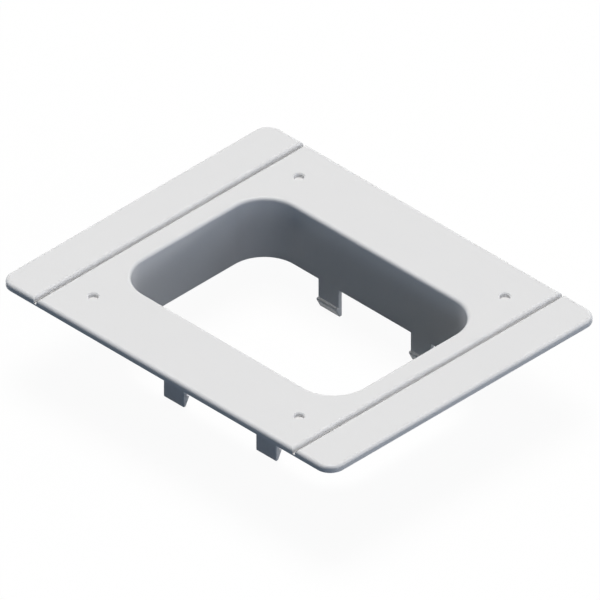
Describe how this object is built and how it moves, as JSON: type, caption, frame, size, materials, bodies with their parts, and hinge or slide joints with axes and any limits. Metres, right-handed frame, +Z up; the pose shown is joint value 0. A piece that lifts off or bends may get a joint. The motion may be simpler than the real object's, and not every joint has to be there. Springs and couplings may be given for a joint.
{
  "type": "earthing pit cover frame",
  "caption": "Flat rectangular moulded plastic cover frame with a rounded opening, a deep collar, barbed snap hooks and break-off end strips.",
  "frame": {"origin": "midway between the snap hooks at the level of their tips, straight below the centre of the plate", "axes": "+X along the plate's long side, +Y across the plate, +Z up, from the hook tips to the plate's visible face"},
  "size_m": [0.1602, 0.13, 0.0364],
  "materials": {
    "cover_plastic": "satin, light grey, fine moulded grain"
  },
  "bodies": {
    "root": {"cover_frame": "cover_plastic"}
  },
  "joints": []
}
